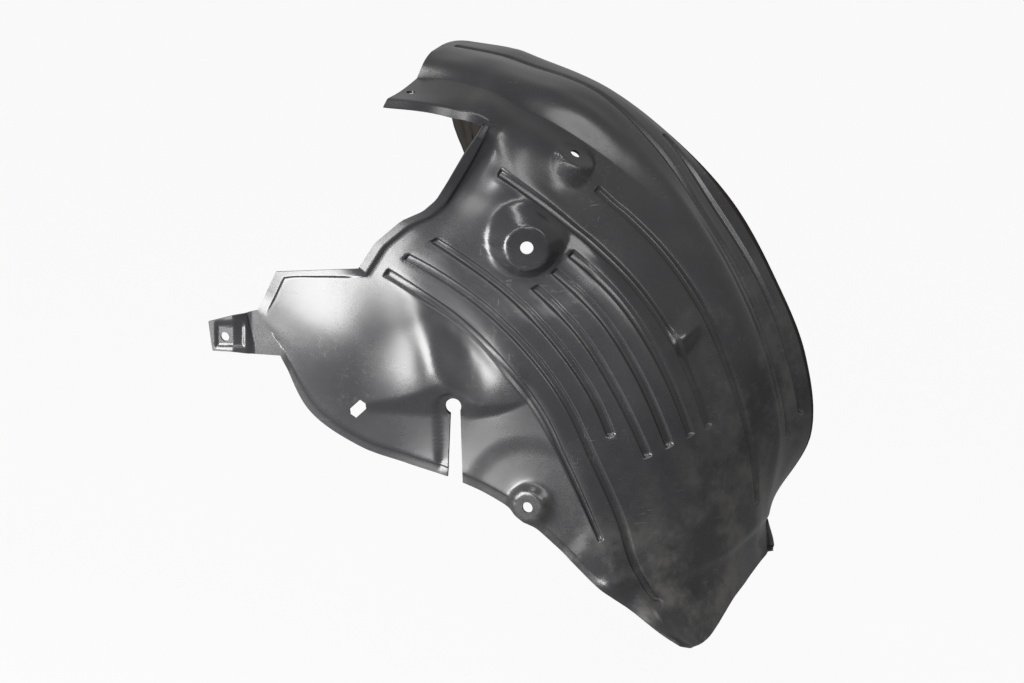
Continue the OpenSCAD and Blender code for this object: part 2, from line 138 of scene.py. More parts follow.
RIB_7 = [
    (0.423, 0.806, 0.159), (0.526, 0.746, 0.22), (0.616, 0.674, 0.286), (0.702, 0.59, 0.335),
    (0.768, 0.494, 0.367), (0.814, 0.386, 0.392), (0.843, 0.272, 0.416), (0.855, 0.153, 0.457),
    (0.888, 0.096, 0.62),
]
ARCH_EDGE = [
    (0.292, 0.892, 0.033), (0.344, 0.886, 0.082), (0.399, 0.873, 0.155), (0.456, 0.853, 0.204),
    (0.549, 0.778, 0.294), (0.641, 0.702, 0.367), (0.727, 0.618, 0.416), (0.792, 0.519, 0.449),
    (0.84, 0.407, 0.473), (0.87, 0.297, 0.498), (0.883, 0.175, 0.563), (0.901, 0.112, 0.702),
]
RIB_8 = [
    (0.318, 0.909, 0.204), (0.366, 0.903, 0.224), (0.418, 0.893, 0.253), (0.473, 0.876, 0.278),
    (0.573, 0.809, 0.376), (0.664, 0.73, 0.449), (0.75, 0.644, 0.494), (0.817, 0.545, 0.522),
    (0.865, 0.43, 0.547), (0.895, 0.321, 0.58), (0.909, 0.196, 0.673), (0.913, 0.127, 0.751),
]
FOOT = [
    (0.344, 0.932, 0.38), (0.39, 0.929, 0.384), (0.438, 0.918, 0.392), (0.486, 0.901, 0.4),
    (0.596, 0.843, 0.522), (0.699, 0.768, 0.596), (0.789, 0.679, 0.62), (0.86, 0.573, 0.637),
    (0.903, 0.458, 0.653), (0.924, 0.336, 0.686), (0.919, 0.208, 0.755), (0.921, 0.137, 0.788),
]
SHOULDER = [
    (0.356, 0.961, 0.457), (0.404, 0.954, 0.461), (0.451, 0.942, 0.473), (0.499, 0.928, 0.49),
    (0.619, 0.883, 0.596), (0.72, 0.799, 0.678), (0.804, 0.699, 0.694), (0.871, 0.588, 0.702),
    (0.918, 0.47, 0.714), (0.942, 0.343, 0.743), (0.924, 0.213, 0.8), (0.926, 0.143, 0.808),
]
CROWN = [
    (0.367, 0.977, 0.535), (0.415, 0.97, 0.559), (0.463, 0.962, 0.584), (0.509, 0.947, 0.612),
    (0.629, 0.9, 0.686), (0.728, 0.812, 0.735), (0.809, 0.707, 0.751), (0.875, 0.593, 0.759),
    (0.923, 0.474, 0.767), (0.949, 0.344, 0.788), (0.926, 0.216, 0.82), (0.929, 0.147, 0.82),
]
RIB_9 = [
    (0.389, 0.992, 0.673), (0.432, 0.984, 0.702), (0.476, 0.975, 0.731), (0.517, 0.962, 0.755),
    (0.641, 0.913, 0.784), (0.738, 0.822, 0.796), (0.814, 0.713, 0.8), (0.88, 0.6, 0.804),
    (0.929, 0.479, 0.812), (0.956, 0.348, 0.824), (0.928, 0.217, 0.849), (0.931, 0.15, 0.833),
]
RIB_10 = [
    (0.42, 1, 0.882), (0.461, 0.994, 0.89), (0.499, 0.987, 0.898), (0.535, 0.975, 0.906),
    (0.659, 0.919, 0.906), (0.759, 0.834, 0.906), (0.834, 0.725, 0.906), (0.906, 0.608, 0.906),
    (0.957, 0.483, 0.906), (0.979, 0.348, 0.906), (0.931, 0.222, 0.922), (0.934, 0.153, 0.841),
]
OUTER_EDGE = [
    (0.438, 0.998, 1), (0.473, 0.99, 1), (0.507, 0.981, 1), (0.542, 0.968, 1), (0.667, 0.913, 1),
    (0.776, 0.83, 1), (0.868, 0.728, 1), (0.936, 0.606, 1), (0.987, 0.478, 1),
    (0.997, 0.344, 0.992), (0.931, 0.227, 0.98), (0.936, 0.155, 0.853),
]
FILL_STARTS = [
    (0.105, 0.516, 0.014), (0.089, 0.54, 0.014), (0.081, 0.552, 0.014), (0.097, 0.585, 0.012),
    (0.111, 0.614, 0.012), (0.181, 0.617, 0.014), (0.25, 0.619, 0.016),
]
TAB_TOP = [(0, 0.534, -0.02), (0.041, 0.544, -0.02), (0.063, 0.548, 0.016)]
WALL_DROPS = [1, 0.95, 0.85, 0.72, 0.5, 0.38, 0.28, 0.22, 0.18, 0.15, 0.1, 0.08]
WALL_LEANS = [0.88, 0.4, 0.1, 0, 0, 0, 0, 0, 0, 0, 0, 0]
RUNS = {
    "rib_1": (3.4, 9.3), "rib_2": (3.5, 10.36), "rib_3": (3.56, 7.7), "rib_4": (5.02, 8.18),
    "rib_5": (5.0, 8.18), "rib_6": (5.0, 8.2), "rib_7": (3.52, 8.24), "rib_8": (4.72, 9.68),
    "rib_9": (0.4, 9.05), "rib_10": (4.9, 8.76),
}
TAB_FILLS, NOTCH_BAY, LAST_BAY = 3, 3, 11

# %% [markdown]
# A rail is smooth between its drawn places. Catmull-Rom curves are the plain choice, because they pass
# through each place and need no handles. Between the trimmed edge and the first rib the flank has fill
# rails, which share the gap out evenly.

# %% Walk along a rail, and list all rails
def along(places, x):
    """The place at each x, counted in bays from the rail's first place."""
    p = np.asarray(places, float)
    p = p.reshape(len(p), -1)
    p = np.vstack([2 * p[0] - p[1], p, 2 * p[-1] - p[-2]])
    i = np.clip(np.floor(x).astype(int), 0, len(p) - 4)
    t = (np.asarray(x) - i)[:, None]
    a, b, c, d = p[i], p[i + 1], p[i + 2], p[i + 3]
    return 0.5 * (2 * b + (c - a) * t + (2 * a - 5 * b + 4 * c - d) * t**2 + (3 * b - a - 3 * c + d) * t**3)


def fill_rail(f):
    start = [np.array(LIP_BEND[b]) + (np.array(TAB_TOP[b]) - LIP_BEND[b]) * (f + 1) / TAB_FILLS
             for b in range(3)] if f < TAB_FILLS else []
    share = (f + 1) / (len(FILL_STARTS) + 1)
    return start + [FILL_STARTS[f]] + [
        np.array(LIP_BEND[b]) + (np.array(RIB_1[b - 3]) - LIP_BEND[b]) * share for b in range(4, 12)]


rails = [("cut_edge", CUT_EDGE), ("lip_bend", LIP_BEND)]
rails += [(f"fill_{f}", fill_rail(f)) for f in range(len(FILL_STARTS))]
rails += [("rib_1", RIB_1), ("rib_2", RIB_2), ("rib_3", RIB_3), ("rib_4", RIB_4), ("rib_5", RIB_5),
          ("rib_6", RIB_6), ("rib_7", RIB_7), ("arch_edge", ARCH_EDGE), ("rib_8", RIB_8), ("foot", FOOT),
          ("shoulder", SHOULDER), ("crown", CROWN), ("rib_9", RIB_9), ("rib_10", RIB_10),
          ("outer_edge", OUTER_EDGE)]
rail_names = [n for n, _ in rails]
TAB_RAIL, ARCH_RAIL = 1 + TAB_FILLS, rail_names.index("arch_edge")
print(len(rails), "rails; the top band starts at", rail_names[ARCH_RAIL])

# %% [markdown]
# ## Rows and columns
# The sheet is a grid. Its columns follow the rails, so that each rib has its own columns at its floor
# and rim: a rib stays crisp with few faces. Its rows cross the rails. They lie close together where a
# rib ends and beside the notch, where the first rows keep an even distance from the trimmed edge.

# %% Choose the columns
# each profile: offsets from the rail in mm, and the share of the full depth or height there
RIB_PROFILE = ([2.1, 3.2, 4.7, 5.9], [1, 0.9, 0.06, 0])
LIP_PROFILE = ([-1.0, -0.4, 1.4, 2.0], [1, 0.94, 0.06, 0])
CURL_PROFILE = ([0, 6.4, 7.4, 8.6], [1, 0.22, 0.07, 0])
FOOT_OFFSETS = [-2.6, -0.9, 0, 0.9, 2.6]
WALL_STEPS = [0.03, 0.12, 0.3, 0.5, 0.65, 0.8, 0.9, 1.0]
offsets = {name: [-v for v in reversed(RIB_PROFILE[0])] + RIB_PROFILE[0] for name in RUNS}
offsets.update(lip_bend=LIP_PROFILE[0], foot=FOOT_OFFSETS, arch_edge=CURL_PROFILE[0])
columns = []  # (rail, share of the way to the next rail, offset in metres or None)
for r, name in enumerate(rail_names):
    columns += [(r, 0, o / 1000) for o in offsets.get(name, [0])]
    inner = 2 if name in ("rib_1", "rib_2", "rib_3", "rib_4", "rib_5", "rib_6", "cut_edge") else 3
    if name in ("foot", "rib_8", "rib_7", "shoulder"):
        inner = 4
    if r < len(rails) - 1:
        columns += [(r, k / (inner + 1), None) for k in range(1, inner + 1)]
for w in range(len(WALL_STEPS)):
    columns += [(len(rails) - 1 + w, 0.5, None), (len(rails) + w, 0, 0)]


def margin(r):
    """How far a rail's own columns reach to either side."""
    return max(map(abs, offsets.get(rail_names[r], [0]))) / 1000 if r < len(rails) else 0


print(len(columns), "columns")

# %% Choose the rows
TAB_ROWS = 16
MAIN_ROWS = 125
CUP_BAYS, CUP_ROWS = 5.6, 64
SLOT_BAYS, SLOT_ROWS = (6.3, 7.0), 24
EDGE_ZONE, EDGE_LONG = 0.19, 0.1  # the evenly spaced zone, in bays, and the length that one bay stands for
EDGE_MM = [0, 3.5, 7, 8.8, 9.6, 11.2, 12, 15.5]
WIDEST_ZONE = 0.6
CAP, CAP_EDGE = 0.032, 0.004  # a rib's end slope and the rounding of its two edges, in bays
AFTER_EDGE, CROWDED = 0.025, 0.012


def first_bay_scale(r):
    """How many times shorter a rail's first main bay is than the one the edge zone is drawn for."""
    if not TAB_RAIL <= r < ARCH_RAIL:
        return 1.0
    p = place(along(rails[r][1], np.linspace(0, 1, 9) + (NOTCH_BAY if len(rails[r][1]) == 12 else 0)))
    return EDGE_LONG / np.linalg.norm(p[1:] - p[:-1], axis=-1).sum()


scales = np.array([first_bay_scale(r) for r in range(len(rails))] + [1.0] * len(WALL_STEPS))


def warp(x, f):
    """Row places of a rail whose first bay is f times shorter, from the plain row places."""
    t, edge = x - NOTCH_BAY, np.minimum(EDGE_ZONE * f, WIDEST_ZONE)
    inside = NOTCH_BAY + edge + (t - EDGE_ZONE) * (1 - edge) / (1 - EDGE_ZONE)
    return np.where((t <= 0) | (t >= 1), x, np.where(t < EDGE_ZONE, NOTCH_BAY + t * edge / EDGE_ZONE, inside))


def unwarp(x, f):
    """The plain row place that warp brings to x."""
    plain = np.linspace(NOTCH_BAY, NOTCH_BAY + 1, 400)
    return float(np.interp(x, warp(plain, f), plain)) if NOTCH_BAY < x < NOTCH_BAY + 1 else x


ends = []
for name, run in RUNS.items():
    f = scales[rail_names.index(name)]
    ends += [unwarp(e + step * side, f) for e, side in zip(run, (1, -1))
             for step in (-CAP_EDGE, CAP_EDGE, CAP - CAP_EDGE, CAP + CAP_EDGE)]
edge_rows = [NOTCH_BAY + v / 1000 / EDGE_LONG for v in EDGE_MM]
plain_rows = [v for v in np.linspace(NOTCH_BAY, LAST_BAY, MAIN_ROWS) if v > CUP_BAYS
              and not SLOT_BAYS[0] < v < SLOT_BAYS[1]]
plain_rows += list(np.linspace(*SLOT_BAYS, SLOT_ROWS))
plain_rows += list(np.linspace(edge_rows[-1] + AFTER_EDGE, CUP_BAYS, CUP_ROWS))
lead = np.linspace(0, NOTCH_BAY, TAB_ROWS * NOTCH_BAY, endpoint=False)
main = np.unique(np.round(edge_rows + plain_rows + [e for e in ends if e > NOTCH_BAY], 3))
lead = np.unique(np.round(np.concatenate([lead, [e for e in ends if e < NOTCH_BAY]]), 3))
keep = np.round(edge_rows + ends, 3)
# plain rows that crowd a kept one are dropped
main = np.array([v for v in main if np.isin(v, keep) or v == LAST_BAY or min(abs(v - keep)) > CROWDED])
rows = np.concatenate([lead, main])
notch_row = len(lead)
row_x = np.stack([warp(rows, f) for f in scales], 1)
print(len(rows), "rows, of which", notch_row, "lie before the notch")


# %% [markdown]
# Across the rails the skin must be smooth too, or each rail would show as a fold. The rails lie at
# uneven gaps, so the cubic between two of them weighs its slopes by the gaps on both sides. At the foot
# of the bulge the real sheet has a true crease, so there the slopes of the two sides are kept apart.

# %% Blend smoothly across the rails
def smooth(v):
    t = np.clip(v, 0, 1)
    return t * t * (3 - 2 * t)


FLUTE_HIGH, FLUTES_A_BAY = 0.0012, 2.2
FLUTES_END, FLUTE_TOP = 5, 0.03
LEAN_TURN = 0.72  # the share of the drop where the lean changes sides
TRIM_FADE = 0.35
FOOT_CREASE, FOOT_CREASE_END, EDGE_CREASE = 0.9, 7.4, 0.8


def wall_rail(w, x):
    """Points of the outer wall at share w of its drop, below the outer edge."""
    p = place(along(OUTER_EDGE, x))
    r = np.hypot(p[:, 0], p[:, 2])
    radial = np.stack([p[:, 0] / r, 0 * r, p[:, 2] / r], -1)
    drop, lean = WALL_DROP * along(WALL_DROPS, x), WALL_DROP * along(WALL_LEANS, x)
    wave = 2 * abs((x * FLUTES_A_BAY) % 1 - 0.5) - 1
    flute = FLUTE_HIGH * wave * smooth((FLUTES_END - x) / 2) * smooth((w - FLUTE_TOP) / 0.2)
    step = np.hstack([lean * w * (w - LEAN_TURN), SHEET * smooth(w / 0.1) + flute[:, None], 0 * lean])
    return p - radial * drop * w + step


def on_rail(r, x):
    """Places of a rail. The tab's rails run straight to the notch and start afresh there."""
    places = np.array(rails[r][1])
    if len(places) < 12:
        return along(places, x - NOTCH_BAY)
    if r > TAB_RAIL:
        return along(places, x)
    lead = np.stack([np.interp(x, range(NOTCH_BAY + 1), places[:NOTCH_BAY + 1, k]) for k in range(3)], -1)
    return np.where(x[:, None] < NOTCH_BAY, lead, along(places[NOTCH_BAY:], np.maximum(x - NOTCH_BAY, 0)))


def crease(r, x):
    """How sharp the skin turns at a rail, from 0 to 1."""
    name = rail_names[r] if r < len(rails) else ""
    if name == "foot":
        return FOOT_CREASE * smooth((FOOT_CREASE_END - x) / 1.4)
    if name == "outer_edge":
        return EDGE_CREASE + 0 * x
    return 0 * x


def skin_points(first, last, part):
    """Points of all columns between rails first and last, at the rows of one part."""
    pts, folds = [], []
    for r in range(first, last + 1):
        x = row_x[part, r]
        if r < len(rails):
            pts.append(place(on_rail(r, x)))
        else:
            pts.append(wall_rail(WALL_STEPS[r - len(rails)], x))
        folds.append(crease(r, x))
    p, folds = np.array(pts), np.array(folds)[..., None]
    x = rows[part]
    gap = np.linalg.norm(p[1:] - p[:-1], axis=-1, keepdims=True) + 1e-9
    way = (p[1:] - p[:-1]) / gap
    between = (way[:-1] * gap[1:] + way[1:] * gap[:-1]) / (gap[1:] + gap[:-1])
    slope = np.concatenate([way[:1], between, way[-1:]])
    out = np.full((len(x), len(columns), 3), np.nan)
    for c, (r, share, offset) in enumerate(columns):
        k = r - first - (1 if offset is not None and offset < 0 else 0)
        if not first <= r <= last or k < 0 or (k >= len(gap) and (offset or share)):
            continue
        if not offset and not share:
            out[:, c] = p[r - first]
            continue
        g = gap[k]
        low, high = (np.minimum(margin(first + k + e) / g, 0.46) for e in (0, 1))
        if offset:
            t = low * offset / margin(r) if offset > 0 else 1 + high * offset / margin(r)
        else:
            t = low + (1 - low - high) * share
        start = slope[k] + (way[k] - slope[k]) * folds[k]
        end = slope[k + 1] + (way[k] - slope[k + 1]) * folds[k + 1]
        curved = (p[k] * (1 + 2 * t) * (1 - t) ** 2 + p[k + 1] * t * t * (3 - 2 * t)
                  + g * (start * t * (1 - t) ** 2 - end * t * t * (1 - t)))
        straight = p[k] + (p[k + 1] - p[k]) * t
        trim = smooth(1 - abs(x[:, None] - NOTCH_BAY) / TRIM_FADE) * (TAB_RAIL - 1 <= r < ARCH_RAIL)
        out[:, c] = curved + (straight - curved) * trim
    return out


last_rail = len(rails) + len(WALL_STEPS) - 1
tab_part = skin_points(0, TAB_RAIL, slice(0, notch_row))
band_part = skin_points(ARCH_RAIL, last_rail, slice(0, notch_row))
sheet = np.concatenate([np.where(np.isnan(band_part), tab_part, band_part),
                        skin_points(0, last_rail, slice(notch_row, None))])
there = ~np.isnan(sheet[..., 0])
print("grid places in use:", int(there.sum()))

# %% [markdown]
# ## Ribs, lips and soft forms
# The mould presses ribs inwards, offsets the trimmed edges as flat lips, and leaves soft swellings on
# the flank. The lip is sunk along the lower edge and the tab's side, and proud along the notch's right.
# All of these are moves along the skin's own outward direction, so the sheet is first measured.

# %% Find the outward direction at every place
def turned_off(a, b):
    n = np.cross(a, b)
    return n / (np.linalg.norm(n, axis=-1, keepdims=True) + 1e-12)


def slope_of(grid, axis):
    ahead, behind = np.roll(grid, -1, axis), np.roll(grid, 1, axis)
    edge_low, edge_high = [slice(None)] * 3, [slice(None)] * 3
    edge_low[axis], edge_high[axis] = 0, -1
    behind[tuple(edge_low)], ahead[tuple(edge_high)] = grid[tuple(edge_low)], grid[tuple(edge_high)]
    ahead, behind = np.where(np.isnan(ahead), grid, ahead), np.where(np.isnan(behind), grid, behind)
    return ahead - behind


outward = turned_off(slope_of(sheet, 0), slope_of(sheet, 1))
print("mean outward direction", np.nanmean(outward, axis=(0, 1)).round(2))

# %% Sink the ribs
x_of = np.stack([row_x[:, min(r, last_rail)] for r, _, _ in columns], 1)
move = np.zeros(sheet.shape[:2])
for c, (r, share, offset) in enumerate(columns):
    name = rail_names[min(r, len(rails) - 1)]
    if name in RUNS and offset is not None and r < len(rails):
        start, end = RUNS[name]
        cap = np.clip((x_of[:, c] - start) / CAP, 0, 1) * np.clip((end - x_of[:, c]) / CAP, 0, 1)
        move[:, c] -= RIB_DEEP * np.interp(abs(offset) * 1000, *RIB_PROFILE) * cap
print("deepest rib, mm:", round(np.nanmin(move) * 1e3, 1))

# %% Offset the lips along the trimmed edges
LOWER_LIP, SUNK_FLANGE, BAND_LIP = -0.5, 0.4, 1.3
LIP_START, PROUD_START = 3.02, 3.4
col_rail = np.array([c[0] + (c[1] if c[2] is None else 0) for c in columns])
col_offset = np.array([(c[2] or 0) * 1000 for c in columns])
lip_share = np.where(col_rail < 1, 1, np.where(col_rail == 1, np.interp(col_offset, *LIP_PROFILE), 0))
lip_run = smooth((LAST_BAY - 1 - x_of) / 0.5) * smooth((x_of - LIP_START) / 0.3)
lower_lip = LOWER_LIP * lip_share[None, :] * lip_run
row_mm = (rows - NOTCH_BAY)[:, None] * 1000 * EDGE_LONG
in_notch = smooth((col_rail - TAB_RAIL) / 0.8) * (col_rail < ARCH_RAIL)
flat_lip = np.interp(row_mm, [8.8, 9.6, 11.2, 12], [1, 0.94, 0.06, 0])
proud = smooth((col_rail - TAB_RAIL - PROUD_START) / 1.2)[None, :]
notch_lip = flat_lip * (proud - SUNK_FLANGE * (1 - proud)) * in_notch[None, :] * (rows >= NOTCH_BAY)[:, None]
curl = np.where(col_rail == ARCH_RAIL, np.interp(col_offset, *CURL_PROFILE), 0)[None, :]
band_lip = BAND_LIP * curl * smooth((NOTCH_BAY + 0.25 - x_of) / 0.3)
move += LIP_HIGH * (np.where(abs(lower_lip) > abs(notch_lip), lower_lip, notch_lip) - band_lip)
print("highest lip, mm:", round(np.nanmax(move) * 1e3, 1))

# %% Press the soft forms of the flank and the dome
# each mound: place across and up, half width, half height, lean in degrees, share of FORM_HIGH
MOUNDS = [(0.215, 0.51, 0.1, 0.1, 0, 0.9), (0.3, 0.52, 0.05, 0.09, 12, -0.12),
          (0.365, 0.5, 0.026, 0.085, 22, 0.55), (0.42, 0.48, 0.036, 0.07, 34, -0.75),
          (0.46, 0.8, 0.03, 0.1, -32, -1.05), (0.784, 0.513, 0.014, 0.028, -35, 0.85),
          (0.665, 0.1, 0.02, 0.014, 0, 0.5)]
across = sheet @ sight_right / SPAN + AXIS_ACROSS
up = sheet @ sight_up / SPAN + AXIS_UP
for ma, mu, wide, high, lean, share in MOUNDS:
    cl, sl = math.cos(math.radians(lean)), math.sin(math.radians(lean))
    w = ((across - ma) * cl + (up - mu) * sl) / wide
    h = ((up - mu) * cl - (across - ma) * sl) / high
    move += FORM_HIGH * share * np.exp(-(w * w + h * h))
print(len(MOUNDS), "mounds and hollows, of up to mm:", round(FORM_HIGH * 1e3, 1))

# %% Press the ledge over the slot
STEP_TOP = [(0.26, 0.3987), (0.318, 0.4086), (0.3443, 0.4168), (0.374, 0.43), (0.3855, 0.4325),
            (0.407, 0.427), (0.43, 0.4086), (0.4514, 0.397), (0.4926, 0.397), (0.5157, 0.4036)]
STEP_FOOT = [(0.26, 0.3888), (0.369, 0.3806), (0.4283, 0.378), (0.4497, 0.378), (0.476, 0.3822),
             (0.499, 0.39), (0.5157, 0.396)]
STEP_HIGH = [(0.25, 0), (0.3, 0.35), (0.37, 0.9), (0.4, 1), (0.44, 0.8), (0.475, 0.5), (0.525, 0)]
STEP_SHARE, STEP_FADE = 1.35, 0.12
step_top, step_foot, step_high = (np.interp(across, *zip(*line)) for line in (STEP_TOP, STEP_FOOT, STEP_HIGH))
ledge = np.clip((up - step_foot) / (step_top - step_foot), 0, 1)
move += FORM_HIGH * STEP_SHARE * step_high * ledge * smooth(1 - (up - step_top) / STEP_FADE)
print("ledge drawn over", len(STEP_TOP), "places")

# %% Sink the flap below its end crease
CREASE_DEEP, CREASE_WIDE = 0.003, 0.016
END_CREASE = [(0.6656, 0.1153), (0.7117, 0.112), (0.7611, 0.1153), (0.798, 0.1252), (0.855, 0.1532),
              (0.893, 0.1829), (0.9275, 0.2142)]
under = np.interp(across, *zip(*END_CREASE)) - up
on_flap = smooth((across - 0.67) / 0.04) * smooth((0.16 - under) / 0.1)
move -= CREASE_DEEP * smooth(under / CREASE_WIDE) * on_flap
print("flap sunk by mm:", CREASE_DEEP * 1e3)

# %% Sink the strip beside the slot and the pan of the tab
SLOT_TOP, SLOT_FOOT, SLOT_STRIP = (0.4036, 0.3935), 0.25, 0.0285
STRIP_DEEP, PAN_DEEP = 0.003, 0.0022
slot_up = np.clip(up, SLOT_FOOT, SLOT_TOP[1])
slot_gap = np.hypot(across - SLOT_TOP[0], up - slot_up)
left_of_slot = smooth((0.412 - across) / 0.008) * smooth((up - 0.285) / 0.02)
beside = smooth((SLOT_STRIP - slot_gap) / 0.0055) * left_of_slot
move -= STRIP_DEEP * beside * (across > 0.3)
PAN_LOW, PAN_HIGH = np.array((0.016, 0.496)), np.array((0.054, 0.528))
pan_gap = np.maximum(np.maximum(PAN_LOW[0] - across, across - PAN_HIGH[0]),
                     np.maximum(PAN_LOW[1] - up, up - PAN_HIGH[1]))
on_tab = smooth((0.075 - across) / 0.015) * (up > 0.45)
move += PAN_DEEP * smooth(pan_gap / 0.006) * on_tab
print("strip and pan sunk at", int((beside > 0.5).sum()), "places")
formed = sheet + outward * move[..., None]
print("moves in all, mm:", round(np.nanmin(move) * 1e3, 1), "to", round(np.nanmax(move) * 1e3, 1))

# %% [markdown]
# ## Screw seats
# Three holes sit in cups: flat round seats on cones, so that a screw head lies flat although the sheet
# slopes. A cup is a height above the seat's plane. Where the cone is higher than the sheet, the cone wins.
# The cone of the main cup stops at the seventh rib, which runs past it unbroken.

# %% Raise the cups out of the sheet
CUP_REACH, CUP_NEAR, ROUND_OFF, SEAT_RIM = 0.055, 0.07, 0.003, 0.0012


def cup(points, seat, axis, radius, spread, last):
    centre, axis = place(seat), np.asarray(axis, float)
    rel = points - centre
    high = rel @ axis
    side = np.linalg.norm(rel - high[..., None] * axis, axis=-1)
    cone = -np.maximum(side - radius, 0) / spread
    near = (side < radius + CUP_REACH) & (np.abs(high) < CUP_NEAR)
    top = 0.5 * (high + cone + np.sqrt((high - cone) ** 2 + ROUND_OFF**2)) - ROUND_OFF / 2
    flat = smooth((radius + SEAT_RIM - side) / (2 * SEAT_RIM))
    new = top * (1 - flat) + cone * flat
    blend = near * smooth((radius + CUP_REACH - side) / 0.02) * smooth((last - col_rail) / 0.3)
    return points + ((new - high) * blend)[..., None] * axis


def facing(turn, rise):
    t, r = math.radians(turn), math.radians(rise)
    return (math.sin(t) * math.cos(r), -math.cos(t) * math.cos(r), math.sin(r))


rib_7, no_end = rail_names.index("rib_7"), 99
# each cup: seat, axis, seat radius, hole radius, how far the cone spreads as it falls, last rail it reaches
CUPS = {"main": (MAIN_SEAT, facing(22, 6), 0.0225, 0.0065, 0.8, rib_7 - 0.15),
        "upper": ((0.604, 0.8076, 0.44), facing(80, 58), 0.021, 0.00525, 0.45, no_end),
        "lower": ((0.525, 0.228, -0.005), facing(0, 0), 0.017, 0.0055, 0.8, no_end)}
for name, (seat, axis, radius, hole, spread, last) in CUPS.items():
    formed = cup(formed, seat, axis, radius, spread, last)
    print(name, "seat at", (place(seat) - origin).round(4))

# %% [markdown]
# ## The mesh
# bmesh makes a flat grid, its vertices move to the formed places, and the faces over the notch go.
# Holes and slots are knife cuts: planes bisect the faces nearby, and what lies inside is deleted.

# %% Make the skin from a grid
count_r, count_c = len(rows), len(columns)
bm = bmesh.new()
bmesh.ops.create_grid(bm, x_segments=count_c - 1, y_segments=count_r - 1, size=1)
bm.verts.ensure_lookup_table()
home = formed - origin
for i, v in enumerate(bm.verts):
    r, c = divmod(i, count_c)
    if there[r, c]:
        v.co = Vector(home[r, c])
gone = [v for i, v in enumerate(bm.verts) if not there[divmod(i, count_c)]]
bmesh.ops.delete(bm, geom=gone, context="VERTS")
NOTCH_AREA = 0.0004
notch_faces = [f for f in bm.faces if f.calc_area() > NOTCH_AREA]
bmesh.ops.delete(bm, geom=notch_faces, context="FACES")
bmesh.ops.recalc_face_normals(bm, faces=bm.faces)
to_camera = sum(f.normal.dot(Vector(sight_back)) * f.calc_area() for f in bm.faces)
if to_camera < 0:
    bmesh.ops.reverse_faces(bm, faces=bm.faces)
print("skin faces", len(bm.faces), "turned" if to_camera < 0 else "kept")


# %% Knife-cut the holes and slots
def knife(bm, corners, axis):
    """Cuts a convex hole with the given corners, straight along axis, and counts the faces removed."""
    axis = Vector(axis).normalized()
    pts = [Vector(p) for p in corners]
    mid = sum(pts, Vector()) / len(pts)
    reach = max((p - mid).length for p in pts) + 0.004

    def close_by():
        out = []
        for f in bm.faces:
            d = f.calc_center_median() - mid
            along_axis = d.dot(axis)
            if abs(along_axis) < 0.03 and (d - axis * along_axis).length < reach:
                out.append(f)
        return out

    planes = []
    for a, b in zip(pts, pts[1:] + pts[:1]):
        out = (b - a).cross(axis).normalized()
        if out.dot(mid - a) > 0:
            out.negate()
        planes.append((a, out))
    work = close_by()
    for a, out in planes:
        edges = {e for f in work for e in f.edges}
        verts = {v for f in work for v in f.verts}
        bmesh.ops.bisect_plane(bm, geom=list(verts) + list(edges) + work, dist=1e-6, plane_co=a, plane_no=out)
        work = close_by()
    inside = [f for f in work if all((f.calc_center_median() - a).dot(out) < 0 for a, out in planes)]
    bmesh.ops.delete(bm, geom=inside, context="FACES")
    return len(inside)


def ring(seat, axis, radius, corners=28):
    axis = Vector(axis).normalized()
    side, centre = axis.orthogonal().normalized() * radius, Vector(place(seat) - origin)
    return [centre + Matrix.Rotation(2 * math.pi * k / corners, 3, axis) @ side for k in range(corners)]


for name, (seat, axis, radius, hole, _, _) in CUPS.items():
    print(name, "hole:", knife(bm, ring(seat, axis, hole), axis), "faces")
PLAIN_HOLES = {"tab": ((0.026, 0.508, -0.02), (0, -1, 0), 0.00475),
               "top": ((0.33483, 0.907038, 0.210716), (0.051482, -0.021251, 0.998448), 0.0045)}
for name, (seat, axis, hole) in PLAIN_HOLES.items():
    print(name, "hole:", knife(bm, ring(seat, axis, hole), axis), "faces")


def on_sight(points, depth_share):
    return [Vector(place((a, u, depth_share)) - origin) for a, u in points]


FLANK_DEPTH = 0.02
VENT = [(0.232, 0.388), (0.25, 0.404), (0.259, 0.398), (0.26, 0.389), (0.242, 0.373), (0.233, 0.379)]
HEAD, HEAD_R, SLOT_LONG = SLOT_TOP, 0.0133, 0.143
head_ring = [(HEAD[0] + HEAD_R * math.cos(t), HEAD[1] + HEAD_R * math.sin(t))
             for t in np.linspace(0, 2 * math.pi, 24, endpoint=False)]
NECK = [(HEAD[0] - 0.0046, HEAD[1]), (HEAD[0] + 0.0115, HEAD[1]),
        (HEAD[0] + 0.0158, HEAD[1] - SLOT_LONG), (HEAD[0] - 0.0114, HEAD[1] - SLOT_LONG)]
for name, outline in (("vent", VENT), ("slot head", head_ring), ("slot neck", NECK)):
    print(name + ":", knife(bm, on_sight(outline, FLANK_DEPTH), sight_back), "faces")

# %% Give the skin its thickness
SHARP = math.radians(80)
mesh = bpy.data.meshes.new("liner_sheet")
loose = [v for v in bm.verts if not v.link_faces]
bmesh.ops.delete(bm, geom=loose, context="VERTS")
bmesh.ops.triangulate(bm, faces=[f for f in bm.faces if len(f.verts) > 4])
bm.to_mesh(mesh)
bm.free()
liner = bpy.data.objects.new("liner_sheet", mesh)
bpy.context.scene.collection.objects.link(liner)
for poly in mesh.polygons:
    poly.use_smooth = True
thick = liner.modifiers.new("thickness", "SOLIDIFY")
thick.thickness, thick.offset, thick.use_quality_normals = SHEET, -1, True
bpy.context.view_layer.objects.active = liner
bpy.ops.object.modifier_apply(modifier="thickness")
co = np.zeros(len(mesh.vertices) * 3)
mesh.vertices.foreach_get("co", co)
co = co.reshape(-1, 3)
print("before fitting, past the frame by mm:", ((np.array(cad_low) - co.min(0)) * 1e3).round(2),
      ((co.max(0) - np.array(cad_high)) * 1e3).round(2))
